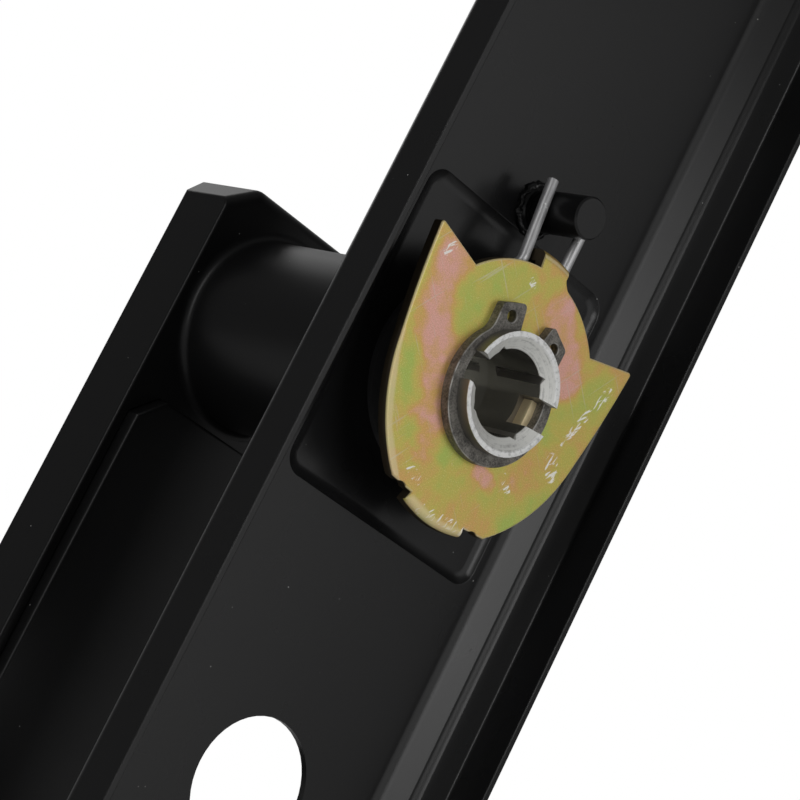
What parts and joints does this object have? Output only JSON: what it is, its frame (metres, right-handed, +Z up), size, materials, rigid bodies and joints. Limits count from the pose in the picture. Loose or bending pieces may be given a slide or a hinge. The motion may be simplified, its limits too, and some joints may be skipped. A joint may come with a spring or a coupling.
{
  "type": "lever door handle on a long back plate",
  "caption": "Black lever handle on a long pressed back plate for a security door, seen from the door side: drive cam, circlip, return spring and stop post round a square spindle socket.",
  "frame": {"origin": "on the lever's turning axis, in the plane of the plate's rim, which rests on the door", "axes": "+Z up along the plate, +Y from the handle into the door, +X to the left as seen from the door side"},
  "size_m": [0.071, 0.0805, 0.26],
  "materials": {
    "plate_paint": "satin black powder coat",
    "lever_paint": "satin black powder coat on a casting, bare at the turned shaft",
    "cover_paint": "satin black",
    "zinc_yellow": "yellow passivated zinc plating with rainbow tints",
    "spring_steel": "drawn wire",
    "dark_steel": "phosphated",
    "nylon": "matt moulded",
    "zinc_steel": "plated"
  },
  "bodies": {
    "plate": {"back_plate": "plate_paint", "spring_post": "plate_paint", "fixing_pillar_upper": "zinc_steel", "fixing_pillar_lower": "zinc_steel", "bearing_bush": "nylon", "neck_washer": "nylon", "return_spring": "spring_steel"},
    "handle": {"lever": "lever_paint", "grip_back_cover": "cover_paint", "cam_plate": "zinc_yellow", "circlip": "dark_steel"}
  },
  "joints": [
    {"name": "lever_turn", "type": "hinge", "parent": "plate", "child": "handle", "pos_m": [0, 0, 0], "axis": [0, 1, 0], "range_deg": [-50, 50], "stiffness_Nm_per_rad": 0.6, "deforming": ["return_spring"]}
  ]
}
